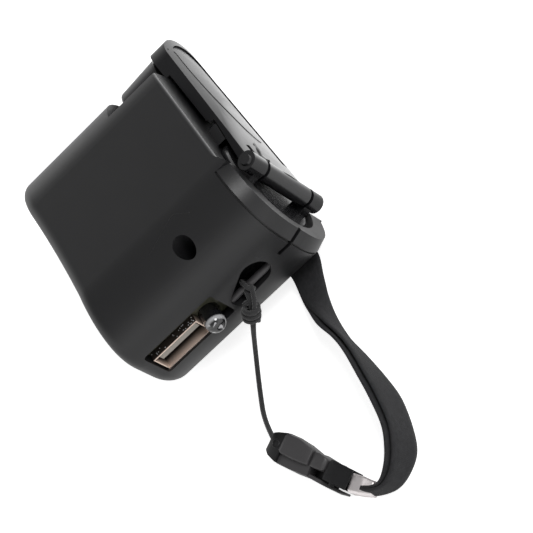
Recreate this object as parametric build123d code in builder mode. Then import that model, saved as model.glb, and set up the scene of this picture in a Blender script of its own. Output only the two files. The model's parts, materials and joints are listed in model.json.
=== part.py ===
from build123d import *
import math
import os

os.makedirs("parts", exist_ok=True)

# Hand crank charger, lying on its flat back. Millimetres.
# X runs along the case to the port end, Y towards the crank side, Z up out of the front.
# The origin is the middle of the flat back.

# case
case_length = 58.8
case_depth = 36.0
case_corner = 15.0
case_wall = 1.8
mid_z = case_depth / 2
port_end = case_length / 2
waist_x = 12.4
waist_y = -22.2
heel_y = -25.2
belly_y = -26.4
floor_y = -20.2
ceiling_y = 17.0
top_y_at_centre = 20.6
top_slope = 0.065
bottom_round = 3.0
top_round = 0.8
parting_notch = 0.35

# collar round the hub
hub_x = 12.9
collar_top = 23.0
collar_foot = 19.9
collar_draft = 19.0
collar_start = 13.2
collar_ramp = 3.0
collar_bore = 13.4
collar_seat = 20.4
crease = 0.35

# sweep of the folded handle past the far end of the case
grip_sweep = 35.8
grip_floor = 5.0
lip = 0.8

# hub, hinge and crank arm
disc_radius = 12.3
disc_base = 20.7
disc_top = 22.2
neck_radius = 5.0
neck_foot = 16.8
fit = 0.05
shaft_radius = 2.0
hinge_x = 16.0
hinge_y = 25.4
barrel_radius = 2.25
bracket_half = 1.9
pin_radius = 0.9
pin_head = 1.4
near_gap = 7.9
far_gap = 7.5
gap = 0.9
near_end = 13.6
far_end = 12.2
cheek_clear = 0.45
slot_reach = 5.0
arm_wide = 11.0
arm_tip = 9.5
arm_tip_x = -27.3
arm_edge_y = 24.9
arm_slope = 0.092
arm_edge_x = 8.4
arm_crown = 2.2
arm_thick = 3.4
arm_middle = 2.2
arm_tip_clear = 36.4
arm_clear_y = 23.3
arm_clear_radius = 18.4
arm_step_y = 22.0
arm_step_radius = 19.2
rest_top = 23.0
rest_radius = 17.3
rest_half = 10.2
panel_sink = 1.2
panel_low = 0.4
panel_margin = 2.2
panel_gap = 0.15

# handle grip
grip_x = -29.9
grip_top_radius = 6.7
grip_end_radius = 6.0
grip_length = 11.8
grip_gap = 0.25
axle_radius = 1.5
axle_head = 2.6
axle_head_thick = 1.2

# gear train
module = 0.5
drive_teeth = 54
pinion_teeth = 12
wheel_teeth = 28
rotor_teeth = 10
addendum = 0.3
dedendum = 0.5
backlash = 0.12
drive_y = 16.8
drive_thick = 2.0
wheel_y = 11.7
wheel_thick = 1.4
pinion_y = 16.7
plate_y = 10.0
plate_thick = 1.4
plate_end = 20.0
axle_pin_radius = 1.0
compound_x = hub_x - module * (drive_teeth + pinion_teeth) / 2
rotor_x = compound_x - module * (wheel_teeth + rotor_teeth) / 2
spacer_radius = 1.5
spacer_spots = ((-12.0, 11.6), (-12.0, -11.6), (5.0, 14.3), (5.0, -14.3))

# generator
can_radius = 11.4
can_wall = 0.8
can_base = -12.2
can_top = 2.4
rotor_radius = 5.6
rotor_length = 9.0
rotor_shaft = 0.75
coil_inner = 6.6
coil_outer = 9.9
coil_length = 10.0
post_radius = 1.1

# port end: window, charging socket and lamp
window_low = -20.6
window_high = -0.1
window_z = mid_z + 0.7
window_height = 9.2
bezel_x = port_end - 3.6
bezel_thick = 0.8
socket_y = -13.6
socket_z = mid_z - 1.0
socket_wide = 13.1
socket_high = 5.7
socket_wall = 0.3
socket_deep = 14.0
socket_face = port_end - 0.7
tongue_wide = 11.1
tongue_high = 1.84
tongue_deep = 8.9
tongue_rise = 0.75
contact_wide = 1.0
contact_pitch = 2.5
lamp_y = -4.5
lamp_z = mid_z - 1.1
lamp_radius = 2.4
lamp_rim = 2.6
lamp_face = port_end + 3.0
board_x = port_end - 22.0
board_long = 18.2
board_low = -19.0
board_high = -1.4
board_thick = 1.2

# lanyard anchor in the port end
pocket_y = 9.3
pocket_z = mid_z + 0.4
pocket_radius = 3.8
eyelet_y = 3.0
eyelet_z = mid_z - 1.7
eyelet_radius = 2.2
pocket_floor = port_end - 4.8
pocket_wall = 1.2
post_x = port_end - 1.5
post_z = mid_z - 2.2
post_start = 0.0
post_end = 13.0
anchor_radius = 0.8

# round hole in the front
front_hole_x = port_end - 6.4
front_hole_y = 4.1
front_hole = 2.35

# case screws
screw_spots = ((-11.5, -15.4), (4.0, -15.4), (-7.5, 5.8), (8.5, 5.8))
screw_shank = 0.95
screw_head = 1.8
screw_head_thick = 1.2
screw_sink = 0.7
screw_length = 22.0
boss_radius = 2.5

# lanyard
cord_diameter = 1.1
knot_radius = 1.7
knot_spot = (31.5, 2.4, 13.0)
buckle_from = (54.1, -12.1)
buckle_way = (0.892, 0.452)
buckle_wide = 7.2
buckle_thick = 5.4
buckle_wall = 0.9
socket_body = 12.4
socket_back = 3.4
plug_body = 6.4
plug_slack = 0.2
prong_long = 8.4
prong_wide = 1.1
tab_long = 4.6
crimp_way = (0.79, 0.613)
crimp_long = 5.4
crimp_wide = 3.6
crimp_thick = 3.8
strap_wide = 9.0
strap_thick = 2.1
strap_turn_x = 38.9
strap_fold_x = 24.3
strap_fold_y = 13.4


def level(y, x=0.0):
    """A sketch plane square to the hub's axis, whose extrusions go towards the crank side."""
    return Plane(origin=(x, y, mid_z), x_dir=(1, 0, 0), z_dir=(0, 1, 0))


def facing_port(x, y, z):
    """A sketch plane square to X at the port end: local x is Y and local y is Z."""
    return Plane(origin=(x, y, z), x_dir=(0, 1, 0), z_dir=(1, 0, 0))


def pocket_outline(margin):
    """The lanyard pocket's egg shape: a wide hole that runs into a narrower one."""
    with Locations((pocket_y, pocket_z)):
        Circle(pocket_radius + margin)
    with Locations((eyelet_y, eyelet_z)):
        Circle(eyelet_radius + margin)
    make_hull()


def top_y(x):
    return top_y_at_centre + top_slope * x


def arm_edge(x):
    return arm_edge_y + arm_slope * (x - arm_edge_x)


def gear_outline(teeth, turn):
    """The corners of a stub involute gear, with a tooth centred on the angle turn."""
    pitch_r = module * teeth / 2
    base_r = pitch_r * math.cos(math.radians(20))
    tip_r = pitch_r + addendum
    root_r = pitch_r - dedendum
    half = (math.pi * module / 2 - backlash) / (2 * pitch_r)
    at_pitch = math.tan(math.radians(20)) - math.radians(20)
    start_r = max(base_r, root_r)
    flank = []
    for k in range(4):
        r = start_r + (tip_r - start_r) * k / 3
        a = math.acos(min(1.0, base_r / r))
        flank.append((r, half + at_pitch - (math.tan(a) - a)))
    if root_r < base_r:
        flank.insert(0, (root_r, flank[0][1]))
    corners = []
    for n in range(teeth):
        middle = math.radians(turn) + 2 * math.pi * n / teeth
        for r, away in flank:
            corners.append((r * math.cos(middle - away), r * math.sin(middle - away)))
        for r, away in reversed(flank):
            corners.append((r * math.cos(middle + away), r * math.sin(middle + away)))
    return corners


# ---------------------------------------------------------------- case

with BuildPart() as band_cut:
    with BuildSketch(level(collar_foot)):
        RectangleRounded(case_length + 4, case_depth + 4, case_corner)
    extrude(amount=6)
    with BuildSketch(level(collar_foot)):
        RectangleRounded(case_length, case_depth, case_corner)
    extrude(amount=6, taper=collar_draft, mode=Mode.SUBTRACT)
    with BuildSketch(level(collar_foot - 0.5)):
        RectangleRounded(case_length + 4, case_depth + 4, case_corner)
        RectangleRounded(
            case_length - 2 * crease, case_depth - 2 * crease, case_corner - crease, mode=Mode.SUBTRACT
        )
    extrude(amount=0.5)
    with BuildSketch(Plane.XY):
        with Locations((collar_start + collar_ramp + 50, 0)):
            Rectangle(100, 100)
    extrude(amount=case_depth, both=True, mode=Mode.INTERSECT)

with BuildPart() as outer:
    with BuildSketch(level(-30)):
        RectangleRounded(case_length, case_depth, case_corner)
    extrude(amount=60)
    with BuildSketch(Plane.XY):
        with BuildLine():
            half = case_length / 2 + 1
            drop = waist_y - heel_y
            rise = waist_y - belly_y
            ThreePointArc((-half, heel_y), ((waist_x - half) / 2, waist_y - drop / 4), (waist_x, waist_y))
            ThreePointArc((waist_x, waist_y), ((waist_x + half) / 2, waist_y - rise / 4), (half, belly_y))
            Polyline(
                (half, belly_y),
                (half, collar_top),
                (collar_start + collar_ramp, collar_top),
                (collar_start, top_y(collar_start)),
                (-half, top_y(-half)),
                (-half, heel_y),
            )
        make_face()
    extrude(amount=case_depth, mode=Mode.INTERSECT)
    with BuildSketch(level(grip_floor)):
        Circle(90)
        with Locations((hub_x, 0)):
            Circle(grip_sweep, mode=Mode.SUBTRACT)
    extrude(amount=40, mode=Mode.SUBTRACT)
    around_bottom = [
        e
        for e in outer.edges()
        if e.center().Y < -19.5 and not (abs(e.center().X - waist_x) < 0.5 and abs(e.center().Z - mid_z) < 1)
    ]
    fillet(around_bottom, radius=bottom_round)
    along_top = [
        e
        for e in outer.edges()
        if e.center().Y > 16 and e.center().X < collar_start and abs(e.center().Z - mid_z) > 5
        and abs(e.tangent_at(0.5).Y) < 0.5
    ]
    fillet(along_top, radius=top_round)
    add(band_cut.part, mode=Mode.SUBTRACT)
    # block that fills the space under the arm next to the collar
    with BuildSketch(level(top_y(-10) - 0.5)):
        with Locations((hub_x, 0)):
            Circle(rest_radius)
        with Locations((hub_x - 15, 0)):
            Rectangle(30, 2 * rest_half, mode=Mode.INTERSECT)
    extrude(amount=rest_top - top_y(-10) + 0.5)
    with BuildSketch(level(collar_seat)):
        with Locations((hub_x, 0)):
            Circle(collar_bore)
    extrude(amount=10, mode=Mode.SUBTRACT)

with BuildPart() as inside:
    with BuildSketch(level(floor_y)):
        RectangleRounded(case_length - 2 * case_wall, case_depth - 2 * case_wall, case_corner - case_wall)
    extrude(amount=ceiling_y - floor_y)
    with BuildSketch(level(grip_floor - case_wall)):
        Circle(90)
        with Locations((hub_x, 0)):
            Circle(grip_sweep - case_wall, mode=Mode.SUBTRACT)
    extrude(amount=40, mode=Mode.SUBTRACT)
    # bosses and posts left standing in the hollow
    for x, y in screw_spots:
        with BuildSketch(Plane.XY):
            with Locations((x, y)):
                Circle(boss_radius)
        extrude(amount=case_depth, mode=Mode.SUBTRACT)
    for x, z in spacer_spots:
        with BuildSketch(level(plate_y)):
            with Locations((x, z)):
                Circle(spacer_radius)
        extrude(amount=10, mode=Mode.SUBTRACT)
    # the tube behind the front hole and the pocket of the lanyard anchor
    with BuildSketch(Plane.XY.offset(mid_z + 6)):
        with Locations((front_hole_x, front_hole_y)):
            Circle(front_hole + 1.2)
    extrude(amount=case_depth, mode=Mode.SUBTRACT)
    with BuildSketch(facing_port(pocket_floor - pocket_wall, 0, 0)):
        pocket_outline(pocket_wall)
    extrude(amount=10, mode=Mode.SUBTRACT)

with BuildPart() as whole_case:
    add(outer.part)
    add(inside.part, mode=Mode.SUBTRACT)
    # bore for the hub
    with BuildSketch(level(ceiling_y - 1)):
        with Locations((hub_x, 0)):
            Circle(neck_radius + fit)
    extrude(amount=10, mode=Mode.SUBTRACT)
    # compound gear pin and plate screws
    with BuildSketch(level(ceiling_y - 6)):
        with Locations((compound_x, 0)):
            Circle(axle_pin_radius)
    extrude(amount=6, mode=Mode.SUBTRACT)
    for x, z in spacer_spots:
        with BuildSketch(level(plate_y)):
            with Locations((x, z)):
                Circle(0.7)
        extrude(amount=5, mode=Mode.SUBTRACT)
    # front hole, anchor pocket and port window
    with BuildSketch(Plane.XY.offset(mid_z + 6 + 1.2)):
        with Locations((front_hole_x, front_hole_y)):
            Circle(front_hole)
    extrude(amount=case_depth, mode=Mode.SUBTRACT)
    with BuildSketch(facing_port(pocket_floor, 0, 0)):
        pocket_outline(0)
    extrude(amount=10, mode=Mode.SUBTRACT)
    window_middle = (window_low + window_high) / 2
    with BuildSketch(facing_port(bezel_x, window_middle, window_z)):
        RectangleRounded(window_high - window_low, window_height, 0.8)
    extrude(amount=10, mode=Mode.SUBTRACT)
    with BuildSketch(Plane(origin=(post_x, post_start, post_z), z_dir=(0, 1, 0))):
        Circle(anchor_radius)
    extrude(amount=post_end - post_start, mode=Mode.SUBTRACT)
    # room for the socket in the floor
    with BuildSketch(facing_port(socket_face - socket_deep - 0.2, socket_y, socket_z)):
        Rectangle(socket_wide + 0.4, socket_high + 0.4)
    extrude(amount=socket_deep - 2, mode=Mode.SUBTRACT)
    # screws from the back
    for x, y in screw_spots:
        with BuildSketch(Plane.XY):
            with Locations((x, y)):
                Circle(screw_head + fit)
        extrude(amount=screw_sink + screw_head_thick, mode=Mode.SUBTRACT)
        with BuildSketch(Plane.XY):
            with Locations((x, y)):
                Circle(screw_shank + fit)
        extrude(amount=screw_sink + screw_head_thick + screw_length + 0.5, mode=Mode.SUBTRACT)

with BuildPart() as front_shell:
    add(whole_case.part)
    with BuildSketch(Plane.XY.offset(mid_z)):
        Rectangle(200, 200)
    extrude(amount=-case_depth, mode=Mode.SUBTRACT)
    # shallow parting groove round the outside
    with BuildSketch(Plane.XY.offset(mid_z)):
        with Locations((case_length / 2, 20)):
            Rectangle(2 * parting_notch + 2.4, 8)
    extrude(amount=0.5, mode=Mode.SUBTRACT)
front_shell.part.label = "front_shell"

with BuildPart() as rear_shell:
    add(whole_case.part)
    with BuildSketch(Plane.XY.offset(mid_z)):
        Rectangle(200, 200)
    extrude(amount=case_depth, mode=Mode.SUBTRACT)
    with BuildSketch(Plane.XY.offset(mid_z)):
        with Locations((case_length / 2, 20)):
            Rectangle(2 * parting_notch + 2.4, 8)
    extrude(amount=-0.5, mode=Mode.SUBTRACT)
rear_shell.part.label = "rear_shell"


def case_screw(number, x, y):
    with BuildPart() as screw:
        with BuildSketch(Plane.XY.offset(screw_sink)):
            with Locations((x, y)):
                Circle(screw_head)
        extrude(amount=screw_head_thick)
        with BuildSketch(Plane.XY.offset(screw_sink + screw_head_thick)):
            with Locations((x, y)):
                Circle(screw_shank)
        extrude(amount=screw_length)
        with BuildSketch(Plane.XY.offset(screw_sink)):
            with Locations((x, y)):
                Rectangle(2.2, 0.5)
                Rectangle(0.5, 2.2)
        extrude(amount=0.7, mode=Mode.SUBTRACT)
    screw.part.label = "case_screw_" + str(number)
    export_step(screw.part, "parts/case_screw_" + str(number) + ".step")


for number, (x, y) in enumerate(screw_spots, 1):
    case_screw(number, x, y)

export_step(front_shell.part, "parts/front_shell.step")
export_step(rear_shell.part, "parts/rear_shell.step")

# ---------------------------------------------------------------- hub, hinge and arm

with BuildPart() as hub:
    with BuildSketch(level(disc_base)):
        with Locations((hub_x, 0)):
            Circle(disc_radius)
    extrude(amount=disc_top - disc_base)
    chamfer(hub.edges().sort_by(Axis.Y)[-1], length=0.4)
    with BuildSketch(level(neck_foot)):
        with Locations((hub_x, 0)):
            Circle(neck_radius)
    extrude(amount=disc_base - neck_foot)
    with BuildSketch(level(plate_y - plate_thick)):
        with Locations((hub_x, 0)):
            Circle(shaft_radius)
    extrude(amount=neck_foot - plate_y + plate_thick)
    # brackets that carry the two outer knuckles of the hinge
    bracket_foot = math.sqrt((disc_radius - 0.4) ** 2 - (hinge_x + bracket_half - hub_x) ** 2)
    for way, start, end in ((1, near_gap + gap, near_end), (-1, far_gap + gap, far_end)):
        with BuildSketch(Plane.XY.offset(mid_z + way * start)):
            with Locations((hinge_x, (disc_top + hinge_y) / 2)):
                Rectangle(2 * bracket_half, hinge_y - disc_top)
        extrude(amount=way * (min(bracket_foot, end) - start))
        with BuildSketch(Plane.XY.offset(mid_z + way * start)):
            with Locations((hinge_x, hinge_y)):
                Circle(barrel_radius)
        extrude(amount=way * (end - start))
    with BuildSketch(Plane.XY.offset(mid_z - 20)):
        with Locations((hinge_x, hinge_y)):
            Circle(pin_radius)
    extrude(amount=40, mode=Mode.SUBTRACT)
hub.part.label = "hub"
export_step(hub.part, "parts/hub.step")

with BuildPart() as hinge_pin:
    with BuildSketch(Plane.XY.offset(mid_z - far_end)):
        with Locations((hinge_x, hinge_y)):
            Circle(pin_radius)
    extrude(amount=far_end + near_end)
    with BuildSketch(Plane.XY.offset(mid_z + near_end)):
        with Locations((hinge_x, hinge_y)):
            Circle(pin_head)
    extrude(amount=0.5, taper=25)
hinge_pin.part.label = "hinge_pin"
export_step(hinge_pin.part, "parts/hinge_pin.step")

# the arm's tilted, crowned section seen along the arm
tilt = math.hypot(1, arm_slope)
along_arm = (-1 / tilt, -arm_slope / tilt, 0)
crown_radius = (arm_wide**2 + arm_crown**2) / (2 * arm_crown)


def crown_at(across):
    return math.sqrt(crown_radius**2 - across**2) - crown_radius + arm_crown


def crowned(low, high):
    """A crowned bar between two heights from the arm's edge line, or from its underside if low is None."""
    reach = 12.5
    edge = crown_at(reach)
    with BuildPart() as bar:
        with BuildSketch(Plane(origin=(20, arm_edge(20), mid_z), x_dir=(0, 0, 1), z_dir=along_arm)):
            with BuildLine():
                ThreePointArc((-reach, edge + high), (0, arm_crown + high), (reach, edge + high))
                if low is None:
                    Polyline(
                        (reach, edge + high), (reach, -arm_thick), (-reach, -arm_thick), (-reach, edge + high)
                    )
                else:
                    Line((reach, edge + high), (reach, edge + low))
                    ThreePointArc((reach, edge + low), (0, arm_crown + low), (-reach, edge + low))
                    Line((-reach, edge + low), (-reach, edge + high))
            make_face()
        extrude(amount=70)
    return bar.part


def below_middle():
    """A bar under the arm's thinner length, to be cut away from it."""
    with BuildPart() as bar:
        with BuildSketch(Plane(origin=(30, arm_edge(30), mid_z), x_dir=(0, 0, 1), z_dir=along_arm)):
            with Locations((0, -arm_middle - 5)):
                Rectangle(40, 10)
        extrude(amount=90)
    return bar.part


def arm_plan(inset, end_x):
    """The arm's outline seen square to the hub, drawn in by inset and ending at end_x."""
    with Locations((arm_tip_x, 0)):
        Circle(arm_tip - inset)
    with Locations((end_x - 0.5, 0)):
        Rectangle(1, 2 * (arm_wide - inset))
    make_hull()


def panel_plan(inset):
    """The teardrop of the sunk panel: round at the tip and coming in towards the hinge."""
    with Locations((arm_tip_x, 0)):
        Circle(arm_tip - inset)
    with Locations((hinge_x - 12.5, 0)):
        Circle(arm_wide - inset - 1.2)
    make_hull()


with BuildPart() as over_case:
    with BuildSketch(level(5)):
        with Locations((hub_x, 0)):
            Circle(arm_tip_clear)
    extrude(amount=40)
    add(below_middle(), mode=Mode.INTERSECT)

with BuildPart() as crank_arm:
    with BuildSketch(level(10)):
        arm_plan(0, hinge_x)
    extrude(amount=30)
    add(crowned(None, 0), mode=Mode.INTERSECT)
    # thinner over the case, and thinner again where it passes over the collar
    add(over_case.part, mode=Mode.SUBTRACT)
    for reach, height in ((arm_step_radius, arm_step_y), (arm_clear_radius, arm_clear_y)):
        with BuildSketch(level(10)):
            with Locations((hub_x, 0)):
                Circle(reach)
        extrude(amount=height - 10, mode=Mode.SUBTRACT)
    # cut back beside the outer knuckles
    cheek_x = hinge_x - barrel_radius - cheek_clear
    for start, end in ((near_gap, 15), (-15, -far_gap)):
        with BuildSketch(Plane.XY.offset(mid_z + start)):
            with Locations((cheek_x + 10, hinge_y)):
                Rectangle(20, 20)
        extrude(amount=end - start, mode=Mode.SUBTRACT)
    with BuildSketch(Plane.XY.offset(mid_z + near_gap)):
        with Locations((cheek_x, hinge_y)):
            Rectangle(2 * slot_reach, 20)
    extrude(amount=gap, mode=Mode.SUBTRACT)
    # middle knuckle
    with BuildSketch(Plane.XY.offset(mid_z - far_gap)):
        with Locations((hinge_x, hinge_y)):
            Circle(barrel_radius)
    extrude(amount=far_gap + near_gap)
    with BuildSketch(Plane.XY.offset(mid_z - 20)):
        with Locations((hinge_x, hinge_y)):
            Circle(pin_radius + fit)
    extrude(amount=40, mode=Mode.SUBTRACT)

with BuildPart() as panel_hollow:
    with BuildSketch(level(10)):
        panel_plan(panel_margin)
    extrude(amount=30)
    add(crowned(-panel_sink, 6), mode=Mode.INTERSECT)

with BuildPart() as arm_panel:
    with BuildSketch(level(10)):
        panel_plan(panel_margin + panel_gap)
    extrude(amount=30)
    add(crowned(-panel_sink, -panel_low), mode=Mode.INTERSECT)
arm_panel.part.label = "arm_panel"
export_step(arm_panel.part, "parts/arm_panel.step")

with BuildPart() as finished_arm:
    add(crank_arm.part)
    add(panel_hollow.part, mode=Mode.SUBTRACT)
    # seat for the axle of the handle
    with BuildSketch(level(10)):
        with Locations((grip_x, 0)):
            Circle(axle_radius)
    extrude(amount=30, mode=Mode.SUBTRACT)
finished_arm.part.label = "crank_arm"
export_step(finished_arm.part, "parts/crank_arm.step")

grip_top = arm_edge(grip_x - grip_top_radius) - arm_thick - grip_gap
grip_foot = grip_top - grip_length
with BuildPart() as grip:
    with BuildSketch(Plane.XY):
        with BuildLine():
            Polyline(
                (grip_x + axle_radius + fit, grip_foot + axle_head_thick + 0.3),
                (grip_x + axle_radius + fit, grip_top),
                (grip_x + grip_top_radius, grip_top),
                (grip_x + grip_end_radius, grip_foot),
                (grip_x + axle_head + 0.3, grip_foot),
                (grip_x + axle_head + 0.3, grip_foot + axle_head_thick + 0.3),
                (grip_x + axle_radius + fit, grip_foot + axle_head_thick + 0.3),
            )
        make_face()
    revolve(axis=Axis((grip_x, 0, 0), (0, 1, 0)))
    rims = [e for e in grip.edges() if e.length > 2 * math.pi * (grip_end_radius - 0.1)]
    fillet(rims, radius=0.9)
with BuildPart() as turned_grip:
    add(grip.part.moved(Location((0, 0, mid_z))))
turned_grip.part.label = "grip"
export_step(turned_grip.part, "parts/grip.step")

# the axle stops under the panel
axle_end = arm_edge(grip_x - axle_radius) + crown_at(axle_radius) - panel_sink - 0.05
with BuildPart() as grip_axle:
    with BuildSketch(level(grip_foot + 0.1)):
        with Locations((grip_x, 0)):
            Circle(axle_head)
    extrude(amount=axle_head_thick)
    with BuildSketch(level(grip_foot + 0.1 + axle_head_thick)):
        with Locations((grip_x, 0)):
            Circle(axle_radius)
    extrude(amount=axle_end - grip_foot - 0.1 - axle_head_thick)
    with BuildSketch(level(grip_foot + 0.1)):
        with Locations((grip_x, 0)):
            Rectangle(3.2, 0.7)
            Rectangle(0.7, 3.2)
    extrude(amount=0.6, mode=Mode.SUBTRACT)
grip_axle.part.label = "grip_axle"
export_step(grip_axle.part, "parts/grip_axle.step")

# ---------------------------------------------------------------- gear train

with BuildPart() as drive_gear:
    with BuildSketch(level(drive_y - drive_thick)):
        with Locations((hub_x, 0)):
            Polygon(*gear_outline(drive_teeth, 0), align=None)
            Circle(shaft_radius, mode=Mode.SUBTRACT)
    extrude(amount=drive_thick)
    with BuildSketch(level(drive_y - drive_thick)):
        with Locations((hub_x, 0)):
            with PolarLocations(9.4, 6):
                Circle(1.9)
    extrude(amount=drive_thick, mode=Mode.SUBTRACT)
drive_gear.part.label = "drive_gear"
export_step(drive_gear.part, "parts/drive_gear.step")

with BuildPart() as compound_gear:
    with BuildSketch(level(wheel_y - wheel_thick)):
        with Locations((compound_x, 0)):
            Polygon(*gear_outline(wheel_teeth, 180), align=None)
            Circle(axle_pin_radius + fit, mode=Mode.SUBTRACT)
    extrude(amount=wheel_thick)
    with BuildSketch(level(wheel_y)):
        with Locations((compound_x, 0)):
            Polygon(*gear_outline(pinion_teeth, 15), align=None)
            Circle(axle_pin_radius + fit, mode=Mode.SUBTRACT)
    extrude(amount=pinion_y - wheel_y)
compound_gear.part.label = "compound_gear"
export_step(compound_gear.part, "parts/compound_gear.step")

with BuildPart() as compound_pin:
    with BuildSketch(level(plate_y - plate_thick)):
        with Locations((compound_x, 0)):
            Circle(axle_pin_radius)
    extrude(amount=ceiling_y - plate_y + plate_thick)
compound_pin.part.label = "compound_pin"
export_step(compound_pin.part, "parts/compound_pin.step")

with BuildPart() as rotor_pinion:
    with BuildSketch(level(wheel_y - wheel_thick - 0.1)):
        with Locations((rotor_x, 0)):
            Polygon(*gear_outline(rotor_teeth, 18), align=None)
            Circle(rotor_shaft, mode=Mode.SUBTRACT)
    extrude(amount=wheel_thick + 0.3)
rotor_pinion.part.label = "rotor_pinion"
export_step(rotor_pinion.part, "parts/rotor_pinion.step")

with BuildPart() as gear_plate:
    with BuildSketch(level(plate_y - plate_thick)):
        RectangleRounded(
            case_length - 2 * case_wall - 0.4, case_depth - 2 * case_wall - 0.4, case_corner - case_wall - 0.2
        )
        with Locations((hub_x, 0)):
            Circle(grip_sweep - case_wall - 0.2, mode=Mode.INTERSECT)
        with Locations((plate_end - 100, 0)):
            Rectangle(200, 200, mode=Mode.INTERSECT)
        with Locations((hub_x, 0)):
            Circle(shaft_radius + fit, mode=Mode.SUBTRACT)
        with Locations((compound_x, 0)):
            Circle(axle_pin_radius, mode=Mode.SUBTRACT)
        with Locations((rotor_x, 0)):
            Circle(rotor_shaft + 0.3, mode=Mode.SUBTRACT)
        with Locations(*spacer_spots):
            Circle(0.8, mode=Mode.SUBTRACT)
    extrude(amount=plate_thick)
gear_plate.part.label = "gear_plate"
export_step(gear_plate.part, "parts/gear_plate.step")


def plate_screw(number, x, z):
    with BuildPart() as screw:
        with BuildSketch(level(plate_y - plate_thick - 1.0)):
            with Locations((x, z)):
                Circle(1.3)
        extrude(amount=1.0)
        with BuildSketch(level(plate_y - plate_thick)):
            with Locations((x, z)):
                Circle(0.7)
        extrude(amount=plate_thick + 4.0)
    screw.part.label = "plate_screw_" + str(number)
    export_step(screw.part, "parts/plate_screw_" + str(number) + ".step")


for number, (x, z) in enumerate(spacer_spots, 1):
    plate_screw(number, x, z)

# ---------------------------------------------------------------- generator

with BuildPart() as generator_can:
    with BuildSketch(level(can_base)):
        with Locations((rotor_x, 0)):
            Circle(can_radius)
    extrude(amount=can_top - can_base)
    with BuildSketch(level(can_base + can_wall)):
        with Locations((rotor_x, 0)):
            Circle(can_radius - can_wall)
    extrude(amount=30, mode=Mode.SUBTRACT)
    with BuildSketch(level(can_base)):
        with Locations((rotor_x, 0)):
            Circle(rotor_shaft + fit)
    extrude(amount=5, mode=Mode.SUBTRACT)
    # outlet for the leads
    with BuildSketch(Plane(origin=(rotor_x, can_base + 4, mid_z), z_dir=(1, 0, 0))):
        Circle(1.6)
    extrude(amount=20, mode=Mode.SUBTRACT)
generator_can.part.label = "generator_can"
export_step(generator_can.part, "parts/generator_can.step")

with BuildPart() as generator_lid:
    with BuildSketch(level(can_top)):
        with Locations((rotor_x, 0)):
            Circle(can_radius)
    extrude(amount=can_wall)
    with BuildSketch(level(can_top + can_wall)):
        with Locations((rotor_x, 0)):
            Circle(2.4)
    extrude(amount=plate_y - plate_thick - can_top - can_wall)
    with BuildSketch(level(can_top)):
        with Locations((rotor_x, 0)):
            Circle(rotor_shaft + fit)
    extrude(amount=20, mode=Mode.SUBTRACT)
generator_lid.part.label = "generator_lid"
export_step(generator_lid.part, "parts/generator_lid.step")

coil_foot = can_base + can_wall + 1.4
with BuildPart() as bobbin:
    with BuildSketch(level(coil_foot - 1.4)):
        with Locations((rotor_x, 0)):
            Circle(can_radius - can_wall)
            Circle(coil_inner - 0.6, mode=Mode.SUBTRACT)
    extrude(amount=1.1)
    with BuildSketch(level(coil_foot - 0.3)):
        with Locations((rotor_x, 0)):
            Circle(coil_inner)
            Circle(coil_inner - 0.6, mode=Mode.SUBTRACT)
    extrude(amount=coil_length + 0.6)
    with BuildSketch(level(coil_foot + coil_length + 0.3)):
        with Locations((rotor_x, 0)):
            Circle(coil_outer)
            Circle(coil_inner - 0.6, mode=Mode.SUBTRACT)
    extrude(amount=1.0)
bobbin.part.label = "bobbin"
export_step(bobbin.part, "parts/bobbin.step")

with BuildPart() as stator_coil:
    with BuildSketch(level(coil_foot)):
        with Locations((rotor_x, 0)):
            Circle(coil_outer)
            Circle(coil_inner, mode=Mode.SUBTRACT)
    extrude(amount=coil_length)
stator_coil.part.label = "stator_coil"
export_step(stator_coil.part, "parts/stator_coil.step")

with BuildPart() as magnet_rotor:
    with BuildSketch(level(coil_foot + 0.5)):
        with Locations((rotor_x, 0)):
            Circle(rotor_radius)
            Circle(rotor_shaft, mode=Mode.SUBTRACT)
    extrude(amount=rotor_length)
magnet_rotor.part.label = "magnet_rotor"
export_step(magnet_rotor.part, "parts/magnet_rotor.step")

with BuildPart() as rotor_spindle:
    with BuildSketch(level(can_base)):
        with Locations((rotor_x, 0)):
            Circle(rotor_shaft)
    extrude(amount=wheel_y + 0.5 - can_base)
rotor_spindle.part.label = "rotor_spindle"
export_step(rotor_spindle.part, "parts/rotor_spindle.step")

# ---------------------------------------------------------------- port end

with BuildPart() as port_board:
    with BuildSketch(facing_port(bezel_x, window_middle, window_z)):
        Rectangle(window_high - window_low - 0.4, window_height - 0.4)
        with Locations(((floor_y - window_low) / 2 + 0.2, 0)):
            Rectangle(window_high - floor_y - 0.8, window_height + 2.2)
        with Locations((socket_y - window_middle, socket_z - window_z)):
            Rectangle(socket_wide + 0.2, socket_high + 0.2, mode=Mode.SUBTRACT)
        with Locations((lamp_y - window_middle, lamp_z - window_z)):
            Circle(lamp_radius + 0.1, mode=Mode.SUBTRACT)
    extrude(amount=bezel_thick)
port_board.part.label = "port_board"
export_step(port_board.part, "parts/port_board.step")

board_top = socket_z - socket_high / 2
board_middle = (board_low + board_high) / 2
with BuildPart() as main_board:
    with BuildSketch(Plane.XY.offset(board_top - board_thick)):
        with Locations((board_x + board_long / 2, board_middle)):
            Rectangle(board_long, board_high - board_low)
    extrude(amount=board_thick)
main_board.part.label = "main_board"
export_step(main_board.part, "parts/main_board.step")

with BuildPart() as usb_shell:
    with BuildSketch(facing_port(socket_face - socket_deep, socket_y, socket_z)):
        Rectangle(socket_wide, socket_high)
    extrude(amount=socket_deep)
    with BuildSketch(facing_port(socket_face - socket_deep + 1.5, socket_y, socket_z)):
        Rectangle(socket_wide - 2 * socket_wall, socket_high - 2 * socket_wall)
    extrude(amount=socket_deep, mode=Mode.SUBTRACT)
usb_shell.part.label = "usb_shell"
export_step(usb_shell.part, "parts/usb_shell.step")

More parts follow.
